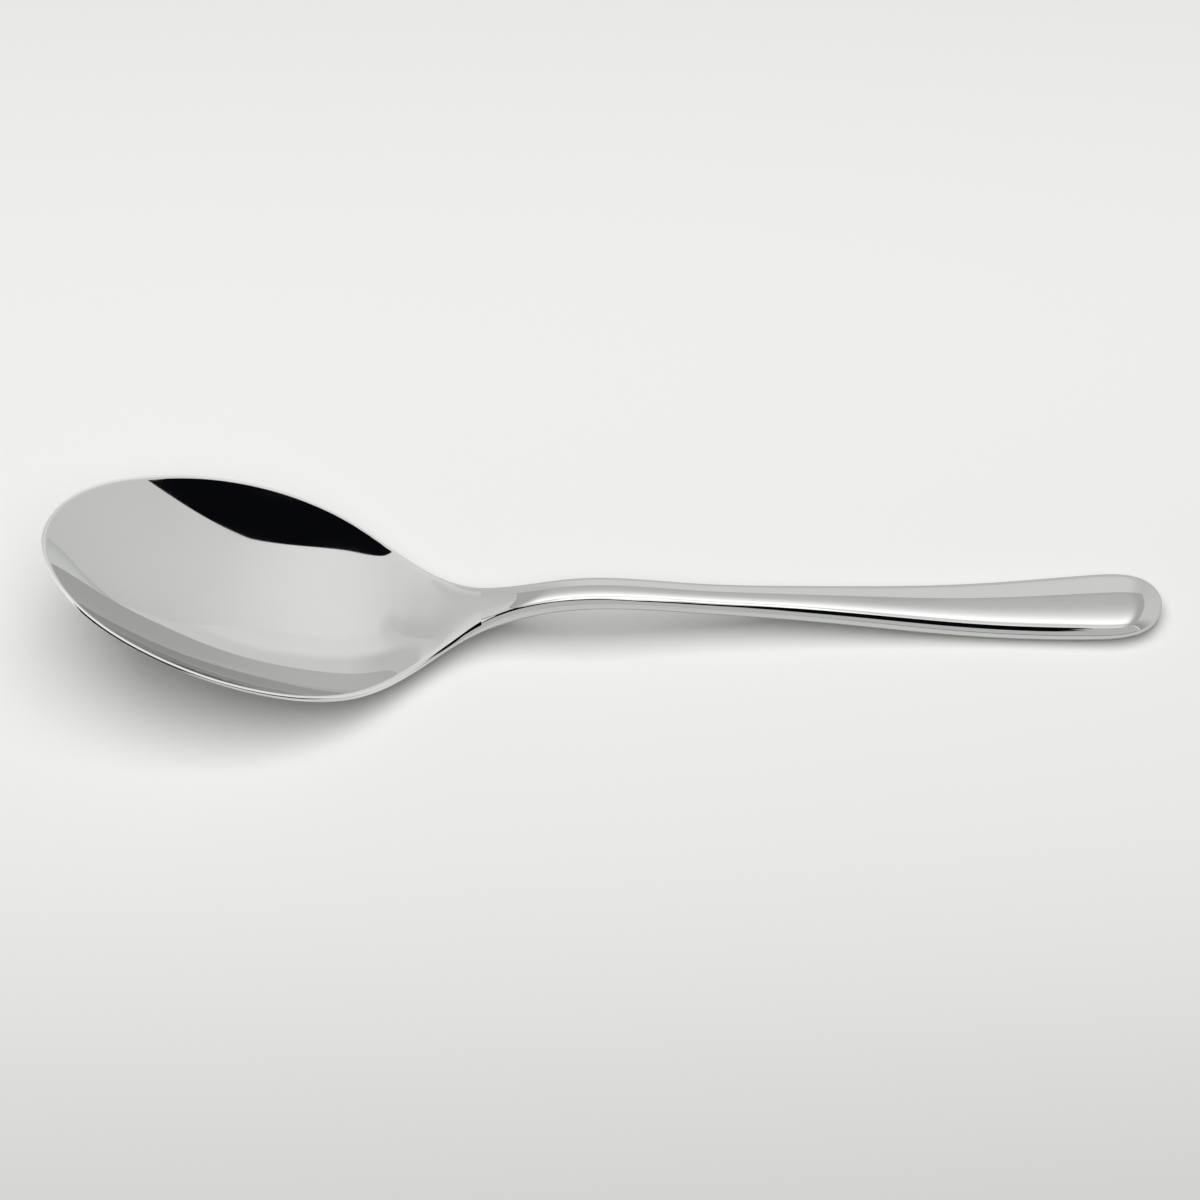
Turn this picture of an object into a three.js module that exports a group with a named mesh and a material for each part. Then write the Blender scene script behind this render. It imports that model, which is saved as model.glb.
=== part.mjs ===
import * as THREE from 'three';

// A one-piece steel table spoon, lying on a table: hollow up, tip towards -X, end of the handle towards +X.
// Its three sections, bowl, neck and handle, meet on flat planes across the stem.
// Every cross-section lies in a plane of constant X, and has the same rule from the tip to the end.

// Driving dimensions, in millimetres

// Lengths along the spoon
const bowlLength = 77; // tip to throat
const neckLength = 38; // throat to grip
const handleLength = 85; // grip to rounded end
const endBulge = 1.5; // how far the round end stands out beyond its corners

// Widths across the spoon
const bowlWidth = 47;
const throatWidth = 9.3; // where the bowl meets the neck
const archWidth = 6.4; // at the crown of the neck
const neckWidth = 6; // where the neck meets the handle
const gripWidth = 8.9; // part way along the handle
const palmWidth = 12; // further along the handle
const handleWidth = 13.9; // at the handle's widest, before the rounded end

// Thicknesses of the steel, measured upright
const lipThickness = 1.4;
const floorThickness = 1.6;
const heelThickness = 2.4;
const throatThickness = 3.8;
const archThickness = 4.2;
const neckThickness = 4.1;
const gripThickness = 5.2;
const palmThickness = 5.7;
const handleThickness = 5.7;

// Heights: the lip is measured from its lowest point at the heel, the stem from the table
const bowlDepth = 11.8; // hollow below the lip, at the bowl's widest
const tipRise = 25.4;
const throatRise = 1.5;
const archHeight = 10.2;
const neckHeight = 8.4;
const shankHeight = 5.9;
const endLift = 0.45; // underside of the handle's end above the table
const restFlat = 0.15; // depth of the flats that touch the table

// Outline of the bowl: half widths as shares of the widest
const shoulderShare = 0.496;
const quarterShare = 0.849;
const flankShare = 0.847;
const heelShare = 0.485;
const cornerShare = 0.595; // and the width of the handle between the corners of its end

// Slant of the lip: heights as shares of the tip's rise
const quarterRiseShare = 0.714;
const widestRiseShare = 0.406;
const slopeRiseShare = 0.151;

// Depth of the hollow, as it would be at full width: shares of the depth at the widest
const tipDepthShare = 1.3;
const quarterDepthShare = 1.18;
const flankDepthShare = 0.8;
const heelDepthShare = 0.77;

// Section shape
const flankBlend = 0.45; // how far the flank has thickened from floor to heel
const hollowPower = 1.13; // 1 makes a parabola, more makes steeper sides and a flatter floor
const hairline = 1e-6; // keeps the point at each end from dividing by no width

// Fineness of the facets
const ringPoints = 48; // points around one section
const bowlRings = 40;
const neckRings = 12;
const handleRings = 30;

// Stations along the spoon, from the tip

const shoulder = 0.065 * bowlLength;
const quarter = 0.234 * bowlLength;
const middle = 0.4 * bowlLength;
const widest = 0.48 * bowlLength;
const slope = 0.675 * bowlLength;
const flank = 0.7 * bowlLength;
const fadeStart = 0.74 * bowlLength;
const heel = 0.857 * bowlLength;
const scoop = 0.9 * bowlLength;
const throat = bowlLength;
const fadeEnd = throat + 0.2 * neckLength;
const arch = throat + 0.4 * neckLength;
const joint = throat + neckLength;
const shank = joint + 0.24 * handleLength;
const grip = joint + 0.41 * handleLength;
const rest = joint + 0.6 * handleLength;
const palm = joint + 0.66 * handleLength;
const wide = joint + 0.84 * handleLength;
const end = joint + handleLength;

// Curve helpers

// A cubic spline through points [t, value] whose bend never jumps. A slope given for an end is kept there,
// and an end without one has no bend.
function smoothCurve(points, startSlope = null, endSlope = null) {
  const count = points.length;
  const last = count - 1;
  const gap = (i) => points[i + 1][0] - points[i][0];
  const rise = (i) => (points[i + 1][1] - points[i][1]) / gap(i);
  const lower = new Array(count).fill(0);
  const main = new Array(count).fill(1);
  const upper = new Array(count).fill(0);
  const bend = new Array(count).fill(0);
  if (startSlope !== null) {
    main[0] = 2 * gap(0);
    upper[0] = gap(0);
    bend[0] = 6 * (rise(0) - startSlope);
  }
  for (let i = 1; i < last; i++) {
    lower[i] = gap(i - 1);
    main[i] = 2 * (gap(i - 1) + gap(i));
    upper[i] = gap(i);
    bend[i] = 6 * (rise(i) - rise(i - 1));
  }
  if (endSlope !== null) {
    lower[last] = gap(last - 1);
    main[last] = 2 * gap(last - 1);
    bend[last] = 6 * (endSlope - rise(last - 1));
  }
  for (let i = 1; i < count; i++) {
    const factor = lower[i] / main[i - 1];
    main[i] -= factor * upper[i - 1];
    bend[i] -= factor * bend[i - 1];
  }
  bend[last] /= main[last];
  for (let i = last - 1; i >= 0; i--) {
    bend[i] = (bend[i] - upper[i] * bend[i + 1]) / main[i];
  }

  function span(t) {
    let i = 0;
    while (i < last - 1 && t > points[i + 1][0]) i++;
    return i;
  }

  return {
    at(t) {
      const i = span(t);
      const before = t - points[i][0];
      const after = points[i + 1][0] - t;
      const cubes = (bend[i] * after ** 3 + bend[i + 1] * before ** 3) / (6 * gap(i));
      const start = (points[i][1] / gap(i) - (bend[i] * gap(i)) / 6) * after;
      const stop = (points[i + 1][1] / gap(i) - (bend[i + 1] * gap(i)) / 6) * before;
      return cubes + start + stop;
    },
    slopeAt(t) {
      const i = span(t);
      const before = t - points[i][0];
      const after = points[i + 1][0] - t;
      const squares = (bend[i + 1] * before ** 2 - bend[i] * after ** 2) / (2 * gap(i));
      return squares + rise(i) - ((bend[i + 1] - bend[i]) * gap(i)) / 6;
    },
  };
}

// Outline seen from above

// Points [station, half width]
const outline = [
  [0, 0],
  [shoulder, shoulderShare * (bowlWidth / 2)],
  [quarter, quarterShare * (bowlWidth / 2)],
  [widest, bowlWidth / 2],
  [flank, flankShare * (bowlWidth / 2)],
  [heel, heelShare * (bowlWidth / 2)],
  [throat, throatWidth / 2],
  [arch, archWidth / 2],
  [joint, neckWidth / 2],
  [grip, gripWidth / 2],
  [palm, palmWidth / 2],
  [wide, handleWidth / 2],
  [end - endBulge, cornerShare * (handleWidth / 2)],
  [end, 0],
];

// Distance along the outline at each of its points, which is what the two curves run on.
const travel = [0];
for (let i = 1; i < outline.length; i++) {
  const [x0, y0] = outline[i - 1];
  const [x1, y1] = outline[i];
  travel.push(travel[i - 1] + Math.hypot(x1 - x0, y1 - y0));
}
const alongCurve = smoothCurve(outline.map(([x], i) => [travel[i], x]), 0, 0);
const acrossCurve = smoothCurve(outline.map(([, y], i) => [travel[i], y]), 1, -1);
const travelAt = (station) => travel[outline.findIndex(([x]) => x === station)];

// Thickness, edge rounding and depth

const thicknessCurve = smoothCurve([
  [0, lipThickness],
  [middle, floorThickness],
  [flank, THREE.MathUtils.lerp(floorThickness, heelThickness, flankBlend)],
  [heel, heelThickness],
  [throat, throatThickness],
  [arch, archThickness],
  [joint, neckThickness],
  [grip, gripThickness],
  [palm, palmThickness],
  [wide, handleThickness],
  [end, handleThickness],
]);

// The lip is a half round of the steel.
const lipCurve = smoothCurve([
  [0, lipThickness / 2],
  [widest, lipThickness / 2],
  [heel, heelThickness / 2],
  [throat, heelThickness / 2],
], null, 0);

// The stem is round all over, so its rounding grows from the lip's to half of the half width.
function roundingAt(x, halfWidth) {
  const stemShare = THREE.MathUtils.smootherstep(x, fadeStart, throat);
  return THREE.MathUtils.lerp(lipCurve.at(Math.min(x, throat)), halfWidth / 2, stemShare);
}

// Depth of the hollow at full width, deeper towards the tip.
const depthCurve = smoothCurve([
  [0, tipDepthShare * bowlDepth],
  [quarter, quarterDepthShare * bowlDepth],
  [widest, bowlDepth],
  [flank, flankDepthShare * bowlDepth],
  [scoop, heelDepthShare * bowlDepth],
], null, 0);

// Height of the lip and of the middle of the stem

function heightCurveFor(heelHeight) {
  return smoothCurve([
    [0, heelHeight + tipRise],
    [quarter, heelHeight + quarterRiseShare * tipRise],
    [widest, heelHeight + widestRiseShare * tipRise],
    [slope, heelHeight + slopeRiseShare * tipRise],
    [heel, heelHeight],
    [throat, heelHeight + throatRise],
    [arch, archHeight],
    [joint, neckHeight],
    [shank, shankHeight],
    [rest, thicknessCurve.at(rest) / 2 - restFlat],
    [end, handleThickness / 2 + endLift],
  ]);
}

// The hollow is full up to the start of the fade, and gone where the neck begins to arch.
function hollowShare(x) {
  return 1 - THREE.MathUtils.smootherstep(x, fadeStart, fadeEnd);
}

// Height of a point of the skin. share runs from -1 to 1 across the section, side is 1 on top and -1 below.
function skinHeight(distance, share, side, heightCurve) {
  const x = alongCurve.at(distance);
  const halfWidth = Math.max(acrossCurve.at(distance), 0);
  const alongSlope = alongCurve.slopeAt(distance);
  const inward = alongSlope / Math.hypot(alongSlope, acrossCurve.slopeAt(distance));
  const fromEdge = 1 - share ** 2;
  const hollow = Math.min((fromEdge * halfWidth ** 2) / (bowlWidth / 2) ** 2, 1);
  const depth = hollowShare(x) * depthCurve.at(Math.min(x, scoop));
  const dip = depth * (1 - (1 - hollow) ** hollowPower);
  const edgeDistance = (halfWidth * inward * fromEdge) / (2 * Math.max(roundingAt(x, halfWidth), hairline));
  // A power of 2 makes a half-round lip, and 1 an oval stem.
  const lipPower = 2 - THREE.MathUtils.smootherstep(x, throat, arch);
  const swell = Math.sqrt(1 - Math.max(1 - edgeDistance, 0) ** lipPower);
  return heightCurve.at(x) - dip + side * swell * (thicknessCurve.at(x) / 2);
}

// The heel's height lets the bowl's lowest point sink below the table by the depth of its flat.
// Each pass lifts the bowl by what it is still too low.
function restingHeelHeight() {
  const passes = 6;
  const samples = 200;
  let heelHeight = 0;
  for (let pass = 0; pass < passes; pass++) {
    const heightCurve = heightCurveFor(heelHeight);
    let lowest = Infinity;
    for (let i = 0; i <= samples; i++) {
      const distance = (travelAt(throat) * i) / samples;
      lowest = Math.min(lowest, skinHeight(distance, 0, -1, heightCurve));
    }
    heelHeight -= lowest + restFlat;
  }
  return heelHeight;
}

const restingCurve = heightCurveFor(restingHeelHeight());

// Solids

// One closed section: the top from the +Y edge to the -Y edge, and then the underside back.
function sectionAt(distance) {
  const x = alongCurve.at(distance) - end / 2;
  const halfWidth = Math.max(acrossCurve.at(distance), 0);
  const points = [];
  for (let i = 0; i < ringPoints; i++) {
    const angle = (2 * Math.PI * i) / ringPoints;
    const mirrored = Math.min(i, ringPoints - i);
    const share = Math.cos((2 * Math.PI * mirrored) / ringPoints);
    const side = Math.sin(angle) >= 0 ? 1 : -1;
    const z = Math.max(skinHeight(distance, share, side, restingCurve), 0);
    points.push(new THREE.Vector3(x, halfWidth * share, z));
  }
  return points;
}

// A closed skin over sections from one station to another. A station with no width closes in a point,
// and any other one in a flat face.
function stemGeometry(startStation, endStation, rings) {
  const start = travelAt(startStation);
  const stop = travelAt(endStation);
  const positions = [];
  const indices = [];
  for (let ring = 0; ring <= rings; ring++) {
    const points = sectionAt(start + ((stop - start) * ring) / rings);
    points.forEach((point) => positions.push(point.x, point.y, point.z));
  }
  const at = (ring, i) => ring * ringPoints + (i % ringPoints);
  const isPoint = (ring) => (ring === 0 && startStation === 0) || (ring === rings && endStation === end);
  for (let ring = 0; ring < rings; ring++) {
    for (let i = 0; i < ringPoints; i++) {
      if (!isPoint(ring)) indices.push(at(ring, i), at(ring, i + 1), at(ring + 1, i + 1));
      if (!isPoint(ring + 1)) indices.push(at(ring, i), at(ring + 1, i + 1), at(ring + 1, i));
    }
  }
  for (const ring of [0, rings]) {
    if (!isPoint(ring)) indices.push(...flatFace(ring, at, ring === rings));
  }
  const geometry = new THREE.BufferGeometry();
  geometry.setAttribute('position', new THREE.Float32BufferAttribute(positions, 3));
  geometry.setIndex(indices);
  geometry.computeVertexNormals();
  return geometry;
}

// Strips between the top and the underside of a section, which share their places across it.
function flatFace(ring, at, facesEnd) {
  const triangles = [];
  const half = ringPoints / 2;
  for (let i = 0; i < half; i++) {
    const top = at(ring, i);
    const nextTop = at(ring, i + 1);
    const under = at(ring, ringPoints - i);
    const nextUnder = at(ring, ringPoints - i - 1);
    if (i < half - 1) triangles.push([top, nextTop, nextUnder]);
    if (i > 0) triangles.push([top, nextUnder, under]);
  }
  return triangles.flatMap(([a, b, c]) => (facesEnd ? [a, b, c] : [a, c, b]));
}

function polishedSteel(colour, roughness) {
  return new THREE.MeshStandardMaterial({ color: colour, roughness, metalness: 1 });
}

function section(name, geometry, material) {
  const mesh = new THREE.Mesh(geometry, material);
  mesh.name = name;
  return mesh;
}

const spoon = new THREE.Group();
spoon.name = 'tablespoon';
spoon.add(section('bowl', stemGeometry(0, throat, bowlRings), polishedSteel(0xd6d7d6, 0.06)));
spoon.add(section('neck', stemGeometry(throat, joint, neckRings), polishedSteel(0xd4d5d5, 0.06)));
spoon.add(section('handle', stemGeometry(joint, end, handleRings), polishedSteel(0xd4d5d5, 0.06)));

export default spoon;
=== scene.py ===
import bpy
import numpy as np
from mathutils import Matrix


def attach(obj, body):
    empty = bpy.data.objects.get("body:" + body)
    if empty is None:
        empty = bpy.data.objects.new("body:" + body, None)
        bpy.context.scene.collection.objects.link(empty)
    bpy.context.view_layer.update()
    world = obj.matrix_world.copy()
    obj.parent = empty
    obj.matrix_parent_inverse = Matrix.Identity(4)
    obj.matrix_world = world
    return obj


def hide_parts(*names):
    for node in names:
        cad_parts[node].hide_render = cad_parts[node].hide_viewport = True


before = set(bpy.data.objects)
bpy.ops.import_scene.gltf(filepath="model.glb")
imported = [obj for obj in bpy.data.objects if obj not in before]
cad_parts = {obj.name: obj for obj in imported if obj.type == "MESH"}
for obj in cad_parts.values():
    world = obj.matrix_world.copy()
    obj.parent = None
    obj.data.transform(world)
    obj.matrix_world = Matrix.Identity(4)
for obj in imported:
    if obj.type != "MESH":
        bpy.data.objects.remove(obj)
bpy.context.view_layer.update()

mm = 0.001  # shapes are worked out in millimetres, meshes are in metres
print("frame loaded:", ", ".join(sorted(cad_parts)))


# Small helpers

def hexToLinear(code):
    # sRGB hex to the linear colour that a socket takes
    s = np.array([int(code[i:i + 2], 16) for i in (1, 3, 5)]) / 255
    return (*np.where(s <= 0.04045, s / 12.92, ((s + 0.055) / 1.055) ** 2.4), 1.0)


def addNode(tree, kind, settings=None, inputs=None):
    # one node with its options set, its sockets filled, or linked where the value is another socket
    node = tree.nodes.new(kind)
    for key, value in (settings or {}).items():
        setattr(node, key, value)
    for key, value in (inputs or {}).items():
        if isinstance(value, bpy.types.NodeSocket):
            tree.links.new(value, node.inputs[key])
        else:
            node.inputs[key].default_value = value
    return node


def newMaterial(name):
    # a material with an empty node tree
    material = bpy.data.materials.new(name)
    material.use_nodes = True
    material.node_tree.nodes.clear()
    return material, material.node_tree


def newObject(name, points, faces, material):
    # points in millimetres, faces as lists of point numbers
    mesh = bpy.data.meshes.new(name)
    mesh.from_pydata((points * mm).tolist(), [], faces)
    mesh.materials.append(material)
    mesh.polygons.foreach_set("use_smooth", np.ones(len(mesh.polygons), bool))
    piece = bpy.data.objects.new(name, mesh)
    bpy.context.scene.collection.objects.link(piece)
    return piece


def addAttribute(piece, name, values):
    # one number at each point, which a material reads by its name
    attribute = piece.data.attributes.new(name, "FLOAT", "POINT")
    attribute.data.foreach_set("value", np.ravel(values).astype(np.float32))


def gridFaces(rows, columns, wrap=False):
    # quads of a grid of points counted row by row; wrap closes each row into a ring
    firsts = np.arange(rows - 1) * columns
    i, j = np.meshgrid(firsts, np.arange(columns if wrap else columns - 1), indexing="ij")
    k = (j + 1) % columns
    return np.stack([i + j, i + k, i + columns + k, i + columns + j], -1).reshape(-1, 4)


def easeIn(x, start, stop):
    # 0 before start, 1 after stop, with no jump of slope or bend
    s = np.clip((x - start) / (stop - start), 0, 1)
    return s ** 3 * (s * (6 * s - 15) + 10)


def between(table, at):
    # straight line from one pair of the table to the next
    return np.interp(at, *np.array(table).T)


def smoothCurve(points, startSlope=None, endSlope=None):
    # chain of cubics through the points whose bend never jumps; an end without a slope has no bend
    t, v = np.array(points, float).T
    gap = np.diff(t)
    rise = np.diff(v) / gap
    lhs = np.eye(len(t))
    rhs = np.zeros(len(t))
    inner = np.arange(1, len(t) - 1)
    lhs[inner, inner - 1] = gap[:-1]
    lhs[inner, inner] = 2 * (gap[:-1] + gap[1:])
    lhs[inner, inner + 1] = gap[1:]
    rhs[inner] = 6 * np.diff(rise)
    if startSlope is not None:
        lhs[0, :2] = 2 * gap[0], gap[0]
        rhs[0] = 6 * (rise[0] - startSlope)
    if endSlope is not None:
        lhs[-1, -2:] = gap[-1], 2 * gap[-1]
        rhs[-1] = 6 * (endSlope - rise[-1])
    bend = np.linalg.solve(lhs, rhs)

    def curve(at, slope=False):
        i = np.clip(np.searchsorted(t, at) - 1, 0, len(gap) - 1)
        a, b, g = t[i + 1] - at, at - t[i], gap[i]
        if slope:
            turned = (bend[i + 1] * b ** 2 - bend[i] * a ** 2) / (2 * g)
            return turned + rise[i] - (bend[i + 1] - bend[i]) * g / 6
        cubes = (bend[i] * a ** 3 + bend[i + 1] * b ** 3) / (6 * g)
        return cubes + (v[i] / g - bend[i] * g / 6) * a + (v[i + 1] / g - bend[i + 1] * g / 6) * b

    return curve


# The three sections of the spoon, in millimetres

bowl = {
    "length": 77.0,  # tip to throat
    "width": 47.0,
    "depth": 11.8,  # hollow below the lip, where the bowl is widest
    "tipRise": 25.4,  # tip above the lip's lowest point
    # pairs of a share of the length with a share of the half width, of the tip's rise and of the
    # depth at full width, and with the thickness of the steel
    "outline": [(0.065, 0.496), (0.234, 0.849), (0.48, 1.0), (0.7, 0.847), (0.857, 0.485)],
    "slant": [(0.0, 1.0), (0.234, 0.714), (0.48, 0.406), (0.675, 0.151), (0.857, 0.0)],
    "hollow": [(0.0, 1.3), (0.234, 1.18), (0.48, 1.0), (0.7, 0.8), (0.9, 0.77)],
    "steel": [(0.0, 1.4), (0.4, 1.6), (0.7, 1.96), (0.857, 2.4)],
    "hollowPower": 1.13,  # 1 is a parabola, more has steeper sides
    "fade": 0.74,  # share of the length where the hollow starts to run out
    "rimWidth": 0.9, "rimCurve": 2.0,  # rounding of the rim, inwards from its edge
    "rimDrop": 1.4,  # how far the rim falls to its edge, in half thicknesses
    "rimInset": 0.1,  # how far its edge stays inside the outline
    "tipSlope": 1.2,  # how far the edge comes down at the tip for each millimetre of inset
    "brightest": 0.4,  # share of the rim's width that gets the full painted highlight
    "rings": 300,
}
neck = {
    "length": 38.0,  # throat to grip
    "throatWidth": 9.3, "archWidth": 6.4,
    "throat": 3.8, "arch": 4.2,  # thickness
    "throatRise": 1.5,  # above the lip's lowest point
    "archHeight": 10.2,  # middle of the steel above the table
    "archAt": 0.4,  # share of the length
    "hollowEnd": 0.2,  # share of the length where the hollow has run out
    "rings": 110,
}
handle = {
    "length": 85.0,  # grip to rounded end
    # shares of the length: shank, grip, rest on the table, palm, widest place, end
    "stations": (0.24, 0.41, 0.6, 0.66, 0.84, 1.0),
    "startWidth": 6.0, "gripWidth": 8.9, "palmWidth": 12.0, "width": 13.9,
    "start": 4.1, "grip": 5.2, "palm": 5.7, "broad": 5.7, "end": 4.7,  # thickness
    "startHeight": 8.4, "shankHeight": 5.9, "endLift": 0.85,
    "endBulge": 1.5,  # how far the round end stands out beyond its corners
    "corner": 0.595,  # share of the width between those corners
    "rings": 230,
}
contact = {
    "sink": 0.15,  # how deep the touching places would sink into the table
    "soften": 0.12,  # rounding of their edge
    "firstHeel": 5.0, "turns": 8,  # height of the heel to start from, and how often it is corrected
    "samples": 400, "skipped": 5.0,  # points tried along the bowl, and the length left out at the tip
}
roundPoints = 256  # points round every section, so that the sections share their seams

throat = bowl["length"]
arch = throat + neck["archAt"] * neck["length"]
joint = throat + neck["length"]
shank, grip, rest, palm, wide, end = joint + handle["length"] * np.array(handle["stations"])
fadeStart, fadeEnd = bowl["fade"] * throat, throat + neck["hollowEnd"] * neck["length"]
lastHollow = bowl["hollow"][-1][0] * throat
halfBowl = bowl["width"] / 2

outline = np.array(
    [(0, 0)]
    + [(x * throat, w * halfBowl) for x, w in bowl["outline"]]
    + [(throat, neck["throatWidth"] / 2), (arch, neck["archWidth"] / 2)]
    + [(joint, handle["startWidth"] / 2), (grip, handle["gripWidth"] / 2)]
    + [(palm, handle["palmWidth"] / 2), (wide, handle["width"] / 2)]
    + [(end - handle["endBulge"], handle["corner"] * handle["width"] / 2), (end, 0)]
)
steps = np.hypot(*np.diff(outline, axis=0).T)
travel = np.concatenate([[0], np.cumsum(steps)])  # distance along the outline
alongCurve = smoothCurve(np.stack([travel, outline[:, 0]], 1), 0, 0)
acrossCurve = smoothCurve(np.stack([travel, outline[:, 1]], 1), 1, -1)
travelAt = {station: travel[np.argmin(np.abs(outline[:, 0] - station))]
            for station in (0, throat, joint, end)}

thickness = smoothCurve(
    [(x * throat, steel) for x, steel in bowl["steel"]]
    + [(throat, neck["throat"]), (arch, neck["arch"]), (joint, handle["start"])]
    + [(grip, handle["grip"]), (palm, handle["palm"]), (wide, handle["broad"])]
    + [(end, handle["end"])]
)
hollowDepth = smoothCurve([(x * throat, d * bowl["depth"]) for x, d in bowl["hollow"]], endSlope=0)


def middleLine(heelHeight):
    # height of the lip, and on from it of the middle of the stem
    return smoothCurve(
        [(x * throat, heelHeight + z * bowl["tipRise"]) for x, z in bowl["slant"]]
        + [(throat, heelHeight + neck["throatRise"]), (arch, neck["archHeight"])]
        + [(joint, handle["startHeight"]), (shank, handle["shankHeight"])]
        + [(rest, thickness(rest) / 2 - contact["sink"])]
        + [(end, handle["end"] / 2 + handle["endLift"])]
    )


def hollowDip(x, q):
    # depth there x (1 - (1 - q) ^ power), running out where the neck begins to arch;
    # q = how far inside the outline the point is, as a square
    depth = (1 - easeIn(x, fadeStart, fadeEnd)) * hollowDepth(np.minimum(x, lastHollow))
    return depth * (1 - (1 - np.minimum(q, 1)) ** bowl["hollowPower"])


def steelSkin(t, u, middle):
    # t is the distance along the outline, u the angle round the section: 0 is the far edge,
    # a quarter turn is on top.
    # across = (half width - inset of the rim) x cos u
    # rim = 1 - drop x (1 - way in from the edge / rim width) ^ curve; the underside meets its edge
    # swell = root of 1 - (1 - a sin^2 u) ^ n: a full oval in the stem
    # height = middle line - hollow + half thickness x (rim in the bowl, + or - swell in the stem)
    x = alongCurve(t)
    half = np.maximum(acrossCurve(t), 0)
    dx, dh = alongCurve(t, True), acrossCurve(t, True)
    a, b = np.abs(dx) / np.hypot(dx, dh), dh / np.hypot(dx, dh)
    inside = np.sin(u) ** 2
    stemShare = easeIn(x, fadeStart, throat)
    bowlShare = 1 - stemShare
    inset = bowlShare * bowl["rimInset"]
    tipInset = inset * np.maximum(b, 0)
    across = (half - inset * a) * np.cos(u)
    dip = hollowDip(x, (half ** 2 - across ** 2) / halfBowl ** 2)
    n = 2 - easeIn(x, throat, arch)
    swell = np.sqrt(np.maximum(1 - np.maximum(1 - a * inside, 0) ** n, 0))
    toEdge = np.maximum(1 - a * half * inside / (2 * bowl["rimWidth"]), 0) ** bowl["rimCurve"]
    upper = bowlShare * (1 - bowl["rimDrop"] * toEdge) + stemShare * swell
    lower = bowlShare * ((2 - bowl["rimDrop"]) * toEdge - 1) - stemShare * swell
    z = middle(x) - dip + np.where(np.sin(u) >= 0, upper, lower) * thickness(x) / 2
    z = z - tipInset * toEdge * bowl["tipSlope"]
    z = (z + np.sqrt(z ** 2 + contact["soften"] ** 2)) / 2  # touching places lie flat on the table
    return np.stack([x - end / 2 + tipInset + 0 * z, across + 0 * z, z], -1)


def restingLine():
    # lifts or lowers the heel until the bowl's lowest point sinks in by the depth of its contact
    heelHeight = contact["firstHeel"]
    t = np.linspace(0, travelAt[throat], contact["samples"])
    x = alongCurve(t)
    dip = hollowDip(x, (acrossCurve(t) / halfBowl) ** 2)
    for turn in range(contact["turns"]):
        under = middleLine(heelHeight)(x) - dip - thickness(x) / 2
        heelHeight -= under[t > contact["skipped"]].min() + contact["sink"]
    return middleLine(heelHeight)


restLine = restingLine()


def skinNormals(t, u):
    # cross product of the skin's two slopes, from small steps to each side; none at a point
    stepT, stepU = 2e-3, 2e-4
    alongSlope = steelSkin(t + stepT, u, restLine) - steelSkin(t - stepT, u, restLine)
    roundSlope = steelSkin(t, u + stepU, restLine) - steelSkin(t, u - stepU, restLine)
    normal = np.cross(roundSlope, alongSlope)
    size = np.linalg.norm(normal, axis=-1, keepdims=True)
    return normal / np.where(size > 0, size, 1)


def paintedRimHighlightAt(t, u):
    # painted highlight: 1 on the rim of the bowl, 0 inside it and in the stem
    wayIn = acrossCurve(t) * (1 - np.abs(np.cos(u)))
    onBowl = 1 - easeIn(alongCurve(t), fadeStart, throat)
    return onBowl * (1 - easeIn(wayIn, bowl["brightest"] * bowl["rimWidth"], bowl["rimWidth"]))


def sectionFaces(rings, pole):
    # quads from ring to ring, a fan where a ring shrinks to a point, and strips across the open
    # ends; also counts the corners of the faces that aren't such strips
    grid = gridFaces(rings, roundPoints, wrap=True)
    i = np.arange(roundPoints)
    faces = grid.tolist()
    if pole is not None:
        faces = grid[~(grid // roundPoints == pole).any(1)].tolist()
        ring = 1 if pole == 0 else rings - 2
        ahead = ring * roundPoints + (i + 1) % roundPoints
        fan = [np.full(roundPoints, pole * roundPoints), ring * roundPoints + i, ahead]
        faces += np.stack(fan if pole else fan[::-1], 1).tolist()
    skinCorners = sum(map(len, faces))
    j = i[:roundPoints // 2]
    back = (roundPoints - j) % roundPoints
    strip = np.stack([j, j + 1, roundPoints - j - 1, back], 1)
    for ring in (0, rings - 1):
        if ring != pole:
            side = strip + ring * roundPoints
            side = side if ring else side[:, ::-1]
            faces += [list(dict.fromkeys(row)) for row in side.tolist()]
    return faces, skinCorners


def forgeSection(name, start, stop, rings, material):
    # rings of the skin from one station to another, closed by a point at the spoon's two ends
    # and by a flat face where the next section meets it; the normals are the skin's own
    t = np.linspace(travelAt[start], travelAt[stop], rings)[:, None]
    u = (np.arange(roundPoints) * 2 * np.pi / roundPoints)[None, :]
    points, normals = steelSkin(t, u, restLine), skinNormals(t, u)
    halfway = points[rings // 2, 0, 0]
    pole = 0 if start == 0 else rings - 1 if stop == end else None
    if pole is not None:
        normals[pole] = (1 if pole else -1, 0, 0)
    faces, skinCorners = sectionFaces(rings, pole)
    used = np.unique(np.concatenate(faces))
    renumber = np.zeros(rings * roundPoints, int)
    renumber[used] = np.arange(len(used))
    points, normals = points.reshape(-1, 3)[used], normals.reshape(-1, 3)[used]
    piece = newObject(name, points, [renumber[row].tolist() for row in faces], material)
    mesh = piece.data
    corner = np.zeros(len(mesh.loops), int)
    mesh.loops.foreach_get("vertex_index", corner)
    cornerNormals = normals[corner]
    atEnd = points[corner[skinCorners:], 0] > halfway
    cornerNormals[skinCorners:] = np.where(atEnd, 1, -1)[:, None] * np.array([1.0, 0, 0])
    mesh.normals_split_custom_set(cornerNormals.tolist())
    # the bowl's rim gets a painted highlight, a brighter colour along its edge
    addAttribute(piece, "paintedRimHighlight", paintedRimHighlightAt(t, u).reshape(-1)[used])
    return piece


# Steel

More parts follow.
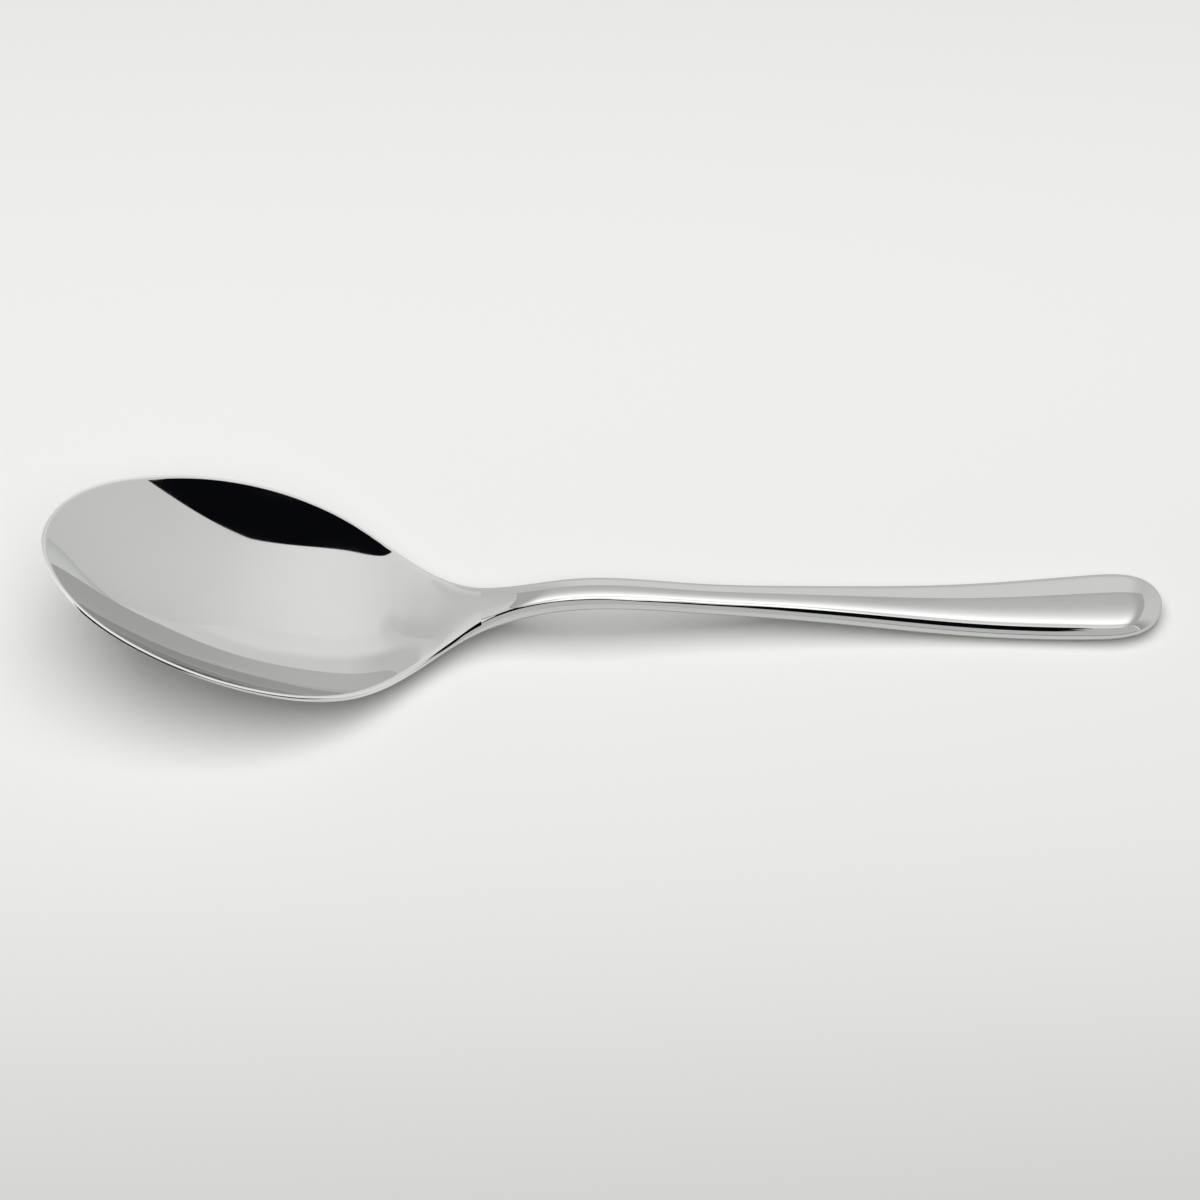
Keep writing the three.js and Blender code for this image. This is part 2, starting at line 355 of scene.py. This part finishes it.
steelLook = {
    # grazing is what the mirror keeps where it is seen almost edge on; the neck and the handle keep
    # less than the bowl, a painted shade on the stem's underside, though it is the same steel; lines
    # are in millimetres
    "bowl": {"grazing": "#FAFAFA", "lineGap": 0.35, "lineLength": 16.0},
    "neck": {"grazing": "#DCDCDC", "lineGap": 0.3, "lineLength": 22.0},
    "handle": {"grazing": "#DCDCDC", "lineGap": 0.3, "lineLength": 22.0},
    "lineDepth": 0.00008, "lineDetail": 3.0,
    "colour": "#CECFCE", "shade": "#C9CAC9",  # clear steel and hazy steel
    "clear": 0.02, "hazy": 0.055,  # roughness where the wheel pressed hard and where it didn't
    "hazeSize": 14.0, "hazeDetail": 4.0,  # millimetres across one hazy patch
    "hazeFrom": 0.35, "hazeTo": 0.7,  # part of the noise that runs from clear to hazy
    "rimHighlight": "#E8E8E6",  # rim of the bowl, brighter: a painted highlight
}


def polishedSteel(part):
    # Stainless steel, forged, ground and buffed to a mirror: it shows the room clearly and a little
    # darker, with a breath of haze where the wheel pressed less. Real buffing lines are finer than
    # a pixel, so they are drawn wider apart and very shallow
    look = steelLook[part]
    material, tree = newMaterial(f"mirror_polished_stainless_steel_{part}")
    place = addNode(tree, "ShaderNodeTexCoord").outputs["Object"]
    gap, length = look["lineGap"] * mm, look["lineLength"] * mm
    stretched = addNode(tree, "ShaderNodeMapping", None,
                        {"Vector": place, "Scale": (1 / length, 1 / gap, 1 / gap)})
    lines = addNode(tree, "ShaderNodeTexNoise", None,
                    {"Vector": stretched.outputs[0], "Scale": 1.0,
                     "Detail": steelLook["lineDetail"]})
    haze = addNode(tree, "ShaderNodeTexNoise", None,
                   {"Vector": place, "Scale": 1 / (steelLook["hazeSize"] * mm),
                    "Detail": steelLook["hazeDetail"]})
    rough = addNode(tree, "ShaderNodeMapRange", None,
                    {"Value": haze.outputs["Fac"],
                     "From Min": steelLook["hazeFrom"], "From Max": steelLook["hazeTo"],
                     "To Min": steelLook["clear"], "To Max": steelLook["hazy"]})
    tint = addNode(tree, "ShaderNodeMix", {"data_type": "RGBA"},
                   {0: haze.outputs["Fac"], 6: hexToLinear(steelLook["colour"]),
                    7: hexToLinear(steelLook["shade"])})
    bump = addNode(tree, "ShaderNodeBump", None,
                   {"Height": lines.outputs["Fac"], "Strength": 1.0,
                    "Distance": steelLook["lineDepth"] * mm})
    # painted highlight: the colour turns brighter on the rim of the bowl
    paintedRimHighlight = addNode(tree, "ShaderNodeAttribute", {"attribute_name": "paintedRimHighlight"})
    highlighted = addNode(tree, "ShaderNodeMix", {"data_type": "RGBA"},
                     {0: paintedRimHighlight.outputs["Fac"], 6: tint.outputs[2],
                      7: hexToLinear(steelLook["rimHighlight"])})
    # the neck and the handle have a darker grazing tint than the bowl: painted shade on the stem's
    # underside
    steel = addNode(tree, "ShaderNodeBsdfPrincipled", None,
                    {"Base Color": highlighted.outputs[2], "Metallic": 1.0,
                     "Roughness": rough.outputs[0], "Normal": bump.outputs[0],
                     "Specular Tint": hexToLinear(look["grazing"])})
    addNode(tree, "ShaderNodeOutputMaterial", None, {"Surface": steel.outputs[0]})
    return material


sections = {"bowl": (0, throat, bowl["rings"]), "neck": (throat, joint, neck["rings"]),
            "handle": (joint, end, handle["rings"])}
made = {}
for part, (start, stop, rings) in sections.items():
    piece = forgeSection(f"{part}_polished", start, stop, rings, polishedSteel(part))
    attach(piece, "root")
    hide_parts(part)
    made[part] = piece
    print(part, "forged:", len(piece.data.polygons), "faces")


# Stage: a paper floor in a white light tent whose front is open to a dark room. The bowl and the
# stem each mirror cloth of their own, hung on one frame, because the cloth over each is lit
# differently. Places are in millimetres, and a radiance of 1 is white

tent = {
    "top": 500.0, "back": 480.0, "right": 265.0,
    "left": ((-234.0, -150.0), (-336.0, 480.0)),  # ends of the left wall
    "step": 0.4,  # how far each cloth hangs outside the one before
    "points": 72,  # along each edge of a cloth
    "colour": "#FFFFFD", "dark": "#0B0C10",
}
bowlCloth = {
    "edge": [(-240, -112), (-215, -110), (-130, -133), (266, -262)],  # ceiling's front edge: x, y
    "rightFront": (-174.0, -262.0),  # front edge of the right wall, at its foot and at the ceiling
    # ceiling, by x
    "across": [(-340, 0.96), (-270, 1.01), (-190, 1.05), (-90, 1.1), (0, 1.13), (173, 1.06),
               (266, 1.0)],
    # how much darker the left wall is than the ceiling, by height
    "leftFall": [(300, 0.07), (330, 0.07), (360, 0.045), (415, 0.01), (500, 0)],
    # how much darker the ceiling is in its far left corner, and where that begins and ends
    "dimCorner": 0.12, "dimLeft": (150, 280), "dimBack": (200, 400),
    # upper part of the back wall, by x
    "back": [(-340, 0.86), (-296, 0.9), (-254, 0.92), (-195, 1.01), (-114, 1.06), (0, 1.1),
             (266, 1.0)],
    "backFoot": [(-130, 0.78), (-50, 0.92)], "backRise": (180, 320),  # its foot, and its extent
    "rightFoot": 0.82,
    "flap": 0.7, "flapAt": -250.0, "flapFoot": 8.0,  # low cloth in front
    # x, height
    "flapTop": [(-220, 110), (-90, 110), (-20, 185), (30, 235), (70, 235), (110, 165), (160, 115),
                (220, 115), (300, 165), (400, 165)],
}
stemCloth = {
    "edge": [(-216, -256), (266, -256)], "rightFront": (-250.0, -250.0),
    # ceiling, by y
    "along": [(-260, 1.15), (-200, 1.06), (-165, 1.0), (-143, 0.96), (-122, 1.35), (-105, 1.75),
              (-60, 1.75), (-20, 1.57), (20, 1.36), (50, 1.23), (80, 1.1), (120, 0.97), (165, 0.85),
              (202, 0.8), (240, 0.76), (300, 0.74), (360, 0.72), (410, 0.71), (480, 0.63)],
    # it is dim in its left and right corners
    "corner": 0.6, "leftFade": (-255.0, -185.0), "rightFade": (172.0, 230.0),
    # back wall by x, side walls by y
    "back": [(-340, 0.78), (-170, 0.78), (-60, 0.96), (0, 0.99), (190, 0.96), (225, 0.83),
             (266, 0.8)],
    "right": [(-260, 0.45), (-180, 0.5), (-90, 0.75), (-60, 0.87), (150, 0.86), (300, 0.83),
              (480, 0.78)],
    "left": [(100, 0.95), (263, 0.9), (304, 0.88), (356, 0.845), (376, 0.825), (444, 0.79),
             (480, 0.78)],
}
stemCard = {  # white card that lights the near side of the stem, with a dark slot
    "at": -60.0, "across": (-90.0, 136.0), "foot": 7.0, "top": 205.0,
    # x, height
    "slotFoot": [(-90, 74), (-50, 78), (-42, 80), (-37, 96), (-10, 89), (7, 90), (25, 63), (37, 63),
                 (40, 56), (45, 49), (60, 47), (78, 47), (83, 50), (87, 66), (89.5, 115),
                 (136, 115)],
    "slotTop": [(-90, 114), (-30, 114), (-10, 112), (7, 112), (26, 84), (43, 93), (49, 114),
                (136, 114)],
    "roof": 114.0,  # above this the ceiling shows behind it
    "low": 0.7, "high": 1.7, "spill": 0.75, "spillFrom": (-65.0, -45.0), "spillTo": (70.0, 86.0),
}
paper = {
    "colour": "#F2F3F0", "radius": 1100.0, "fadeFrom": 420.0,
    "fibre": 0.6, "fibreDepth": 0.004, "fibreDetail": 3.0, "fibreStrength": 0.3,
    # painted shade for the light falling off towards the front and the back: y, share of the colour
    "paintedFalloff": [(-250, 0.64), (-126, 0.7), (-60, 0.87), (0, 0.94), (60, 0.98), (110, 0.98),
             (250, 0.9)],
    "rows": 90, "columns": 120, "hub": 0.002,  # hub is the innermost ring's share of the radius
}
room = {"radius": 4000.0, "rows": 24, "columns": 48, "topAngle": 1.55}
floorLamp = {"size": (1560.0, 2100.0), "at": (-70.0, -420.0, 1500.0), "watts": 34.2}
background = {"colour": "#FFFFFD", "seen": 0.88, "onPaper": 0.04}


def thinCloth():
    # Thin white nylon lit from outside: an even, soft glow that changes slowly from place to place.
    # It lets a ray on to the next cloth, which lights another section of the spoon
    material, tree = newMaterial("thin_white_nylon_cloth")
    strength = addNode(tree, "ShaderNodeAttribute", {"attribute_name": "glow"})
    cloth = addNode(tree, "ShaderNodeEmission", None,
                    {"Color": hexToLinear(tent["colour"]), "Strength": strength.outputs["Fac"]})
    clear = addNode(tree, "ShaderNodeBsdfTransparent")
    both = addNode(tree, "ShaderNodeAddShader", None, {0: cloth.outputs[0], 1: clear.outputs[0]})
    addNode(tree, "ShaderNodeOutputMaterial", None, {"Surface": both.outputs[0]})
    return material


def blackCloth():
    # Black molleton: a matt nap that gives back almost nothing, a little bluish in the dark
    material, tree = newMaterial("black_molleton")
    cloth = addNode(tree, "ShaderNodeEmission", None, {"Color": hexToLinear(tent["dark"])})
    addNode(tree, "ShaderNodeOutputMaterial", None, {"Surface": cloth.outputs[0]})
    return material


def whitePaper():
    # Matt white paper: slightly warm, with a faint fibre, darker towards the front and the back by a
    # painted shade for falling light, running out into the background
    material, tree = newMaterial("matt_white_paper")
    place = addNode(tree, "ShaderNodeTexCoord").outputs["Object"]
    fibre = addNode(tree, "ShaderNodeTexNoise", None,
                    {"Vector": place, "Scale": 1 / (paper["fibre"] * mm),
                     "Detail": paper["fibreDetail"]})
    bump = addNode(tree, "ShaderNodeBump", None,
                   {"Height": fibre.outputs["Fac"], "Strength": paper["fibreStrength"],
                    "Distance": paper["fibreDepth"] * mm})
    # painted shade: the colour falls off towards the front and the back of the floor
    paintedFalloff = addNode(tree, "ShaderNodeAttribute", {"attribute_name": "paintedFalloff"})
    shade = addNode(tree, "ShaderNodeMix", {"data_type": "RGBA", "blend_type": "MULTIPLY"},
                    {0: 1.0, 6: hexToLinear(paper["colour"]), 7: paintedFalloff.outputs["Color"]})
    sheet = addNode(tree, "ShaderNodeBsdfDiffuse", None,
                    {"Color": shade.outputs[2], "Normal": bump.outputs[0]})
    cover = addNode(tree, "ShaderNodeAttribute", {"attribute_name": "cover"})
    clear = addNode(tree, "ShaderNodeBsdfTransparent")
    mixed = addNode(tree, "ShaderNodeMixShader", None,
                    {0: cover.outputs["Fac"], 1: clear.outputs[0], 2: sheet.outputs[0]})
    addNode(tree, "ShaderNodeOutputMaterial", None, {"Surface": mixed.outputs[0]})
    return material


def lightGroup(name, *pieces):
    # the pieces that a cloth or a lamp lights
    group = bpy.data.collections.new(name)
    for piece in pieces:
        group.objects.link(piece)
    return group


def darkRoom(cloth):
    # half sphere: radius x (cos v cos w, cos v sin w, sin v)
    rows, columns = room["rows"], room["columns"]
    v = np.linspace(0, room["topAngle"], rows)[:, None]
    w = (np.arange(columns) * 2 * np.pi / columns)[None, :]
    ball = np.stack([np.cos(v) * np.cos(w), np.cos(v) * np.sin(w), np.sin(v) + 0 * w], -1)
    top = [list(range((rows - 1) * columns, rows * columns))]
    faces = gridFaces(rows, columns, wrap=True).tolist() + top
    dome = newObject("dark_room", (room["radius"] * ball).reshape(-1, 3), faces, cloth)
    dome.visible_camera = False
    dome.visible_diffuse = False  # the paper gets the background's light


def paperFloor():
    # disc: radius x share x (cos w, sin w), level with the table
    rows, columns = paper["rows"], paper["columns"]
    w = (np.arange(columns) * 2 * np.pi / columns)[None, :]
    r = paper["radius"] * np.linspace(paper["hub"], 1, rows)[:, None]
    points = np.stack([r * np.cos(w), r * np.sin(w), 0 * r * w], -1).reshape(-1, 3)
    faces = gridFaces(rows, columns, wrap=True)[:, ::-1].tolist() + [list(range(columns))]
    floor = newObject("paper_floor", points, faces, whitePaper())
    addAttribute(floor, "cover", 1 - easeIn(r, paper["fadeFrom"], paper["radius"]) + 0 * w)
    nearest, furthest = paper["paintedFalloff"][0][0], paper["paintedFalloff"][-1][0]
    # painted shade for the light falling off along y
    falloffCurve = smoothCurve(paper["paintedFalloff"], 0, 0)
    addAttribute(floor, "paintedFalloff", falloffCurve(np.clip(points[:, 1], nearest, furthest)))
    return floor


def edgeRow(x, y, z):
    # a row of points along one edge of a cloth; a pair says where it starts and stops
    count = tent["points"]
    spread = [np.linspace(*c, count) if isinstance(c, tuple) else c + np.zeros(count)
              for c in (x, y, z)]
    return np.stack(spread, 1)


def tentPanel(name, foot, head, glow, cloth, lights=None):
    # point = mix of two edge rows; glow gives the radiance at a point
    b = np.linspace(0, 1, len(foot))[None, :, None]
    points = foot[:, None] * (1 - b) + head[:, None] * b
    faces = gridFaces(len(foot), len(foot)).tolist()
    panel = newObject(name, points.reshape(-1, 3), faces, cloth)
    addAttribute(panel, "glow", glow(*np.moveaxis(points, -1, 0)) + 0 * points[..., 0])
    panel.visible_camera = panel.visible_diffuse = panel.visible_shadow = False
    if lights:
        panel.light_linking.receiver_collection = lights


def tentRows(turn, look):
    # the two edge rows of the ceiling and of each wall, moved out by the step at each turn
    spare = turn * tent["step"]
    right, back, top = tent["right"] + spare, tent["back"] + spare, tent["top"] + spare
    (leftX, leftY), (cornerX, cornerY) = tent["left"]
    leftPlan = (leftX - spare, cornerX - spare), (leftY, cornerY + spare)
    wide = (cornerX, right)
    front = np.linspace(look["edge"][0][0], right, tent["points"])
    footFront, headFront = look["rightFront"]
    return {
        "ceiling": (edgeRow(wide, back, top), edgeRow(front, between(look["edge"], front), top)),
        "back": (edgeRow(wide, back, 0), edgeRow(wide, back, top)),
        "right": (edgeRow(right, (footFront, back), 0), edgeRow(right, (headFront, back), top)),
        "left": (edgeRow(*leftPlan, 0), edgeRow(*leftPlan, top)),
    }


def hangTent(name, turn, look, glows, cloth, lights=None):
    # one panel for each glow that is given
    rows = tentRows(turn, look)
    for part, glow in glows.items():
        tentPanel(f"{name}_{part}", *rows[part], glow, cloth, lights)
    print(name, "hung")


bowlAcross = smoothCurve(bowlCloth["across"])


def bowlCeiling(x, y, z):
    # value across the tent, less what its far left corner loses
    corner = easeIn(-x, *bowlCloth["dimLeft"]) * easeIn(y, *bowlCloth["dimBack"])
    return bowlAcross(x) - bowlCloth["dimCorner"] * corner


def bowlBack(x, y, z):
    # from the value of its foot to that of its upper part
    foot, upper = between(bowlCloth["backFoot"], x), between(bowlCloth["back"], x)
    return foot + (upper - foot) * easeIn(z, *bowlCloth["backRise"])


def bowlRight(x, y, z):
    # from the value of its foot to the ceiling's
    foot = bowlCloth["rightFoot"]
    return foot + (bowlAcross(x) - foot) * z / tent["top"]


def bowlLeft(x, y, z):
    # the ceiling's value, less a fall by height
    return bowlCeiling(x, y, z) - between(bowlCloth["leftFall"], z)


def stemCeiling(x, y, z):
    # corner + (value along the tent - corner) x fade to the left x fade to the right
    dim = stemCloth["corner"]
    lit = easeIn(x, *stemCloth["leftFade"]) * (1 - easeIn(x, *stemCloth["rightFade"]))
    return dim + (between(stemCloth["along"], y) - dim) * lit


def cardGlow(x, y, z):
    # bright below the slot, dark in it, brightest above it, and faint in front of the ceiling
    spill = easeIn(x, *stemCard["spillFrom"]) * (1 - easeIn(x, *stemCard["spillTo"]))
    above = np.where(z < stemCard["roof"], stemCard["high"], stemCard["spill"] * spill)
    glow = np.where(z < between(stemCard["slotTop"], x), 0, above)
    return np.where(z < between(stemCard["slotFoot"], x), stemCard["low"], glow)


bowlGlows = {"ceiling": bowlCeiling, "back": bowlBack, "right": bowlRight, "left": bowlLeft}
stemGlows = {
    "ceiling": stemCeiling,
    "back": lambda x, y, z: between(stemCloth["back"], x),
    "right": lambda x, y, z: between(stemCloth["right"], y),
    "left": lambda x, y, z: between(stemCloth["left"], y),
}
noGlows = dict.fromkeys(("back", "right", "left"), lambda x, y, z: 0)


def hangFlap(cloth, lights):
    # its top edge is a smooth line through the heights
    flapTop, flapAt = bowlCloth["flapTop"], bowlCloth["flapAt"]
    x = np.linspace(flapTop[0][0], flapTop[-1][0], tent["points"])
    tentPanel("bowl_flap", edgeRow(x, flapAt, bowlCloth["flapFoot"]),
              edgeRow(x, flapAt, smoothCurve(flapTop, 0, 0)(x)),
              lambda x, y, z: bowlCloth["flap"], cloth, lights)


def hangCard(cloth, lights):
    # upright, along the spoon
    foot, head = (edgeRow(stemCard["across"], stemCard["at"], stemCard[z]) for z in ("foot", "top"))
    tentPanel("stem_card", foot, head, cardGlow, cloth, lights)


def hangLamp(floor):
    # a wide soft lamp overhead that lights the paper alone
    lamp = bpy.data.lights.new("floor_lamp", "AREA")
    lamp.shape = "RECTANGLE"
    lamp.size, lamp.size_y = (s * mm for s in floorLamp["size"])
    lamp.energy = floorLamp["watts"]
    hung = bpy.data.objects.new("floor_lamp", lamp)
    hung.location = [c * mm for c in floorLamp["at"]]
    hung.light_linking.receiver_collection = lightGroup("lit_by_floor_lamp", floor)
    bpy.context.scene.collection.objects.link(hung)


def whiteBackground():
    # strength = what the camera and the mirror see, or else the little that falls on the paper
    world = bpy.data.worlds.new("white_background")
    bpy.context.scene.world = world
    world.use_nodes = True
    tree = world.node_tree
    tree.nodes.clear()
    path = addNode(tree, "ShaderNodeLightPath")
    seen = addNode(tree, "ShaderNodeMath", {"operation": "ADD"},
                   {0: path.outputs["Is Camera Ray"], 1: path.outputs["Is Glossy Ray"]})
    seen = addNode(tree, "ShaderNodeMath", {"operation": "ADD", "use_clamp": True},
                   {0: seen.outputs[0], 1: path.outputs["Is Transmission Ray"]})
    level = addNode(tree, "ShaderNodeMapRange", None,
                    {"Value": seen.outputs[0],
                     "To Min": background["onPaper"], "To Max": background["seen"]})
    sky = addNode(tree, "ShaderNodeBackground", None,
                  {"Color": hexToLinear(background["colour"]), "Strength": level.outputs[0]})
    addNode(tree, "ShaderNodeOutputWorld", None, {"Surface": sky.outputs[0]})


molleton, nylon = blackCloth(), thinCloth()
darkRoom(molleton)
floor = paperFloor()
litBowl = lightGroup("lit_as_the_bowl", made["bowl"])
litStem = lightGroup("lit_as_the_stem", made["neck"], made["handle"])
hangTent("bowl_tent", 0, bowlCloth, bowlGlows, nylon, litBowl)
hangTent("stem_tent", 1, stemCloth, stemGlows, nylon, litStem)
hangTent("backing", 2, bowlCloth, noGlows, molleton)
hangFlap(nylon, litBowl)
hangCard(nylon, litStem)
hangLamp(floor)
whiteBackground()
print("stage set")


# Camera, as the photograph was taken

shot = {
    "yaw": 1.8, "down": 53.0,  # degrees
    "distance": 900.0, "aim": (-1.62, 0.0, 8.545), "lens": 150.336, "sensor": 36.0,  # millimetres
    "furthest": 20.0,  # metres
}


def placeCamera():
    # forward = (sin yaw cos down, cos yaw cos down, - sin down); spot = aim - forward x distance
    yaw, down = np.radians(shot["yaw"]), np.radians(shot["down"])
    forward = np.array([np.sin(yaw) * np.cos(down), np.cos(yaw) * np.cos(down), -np.sin(down)])
    sideways = np.array([np.cos(yaw), -np.sin(yaw), 0.0])
    spot = (np.array(shot["aim"]) - forward * shot["distance"]) * mm
    axes = np.stack([sideways, np.cross(sideways, forward), -forward, spot], 1)
    camera = bpy.data.objects.new("camera", bpy.data.cameras.new("camera"))
    camera.data.lens = shot["lens"]
    camera.data.sensor_width = shot["sensor"]
    camera.data.clip_end = shot["furthest"]
    camera.matrix_world = Matrix([*axes.tolist(), [0, 0, 0, 1]])
    bpy.context.scene.collection.objects.link(camera)
    bpy.context.scene.camera = camera


placeCamera()
bpy.context.scene.view_settings.view_transform = "Standard"
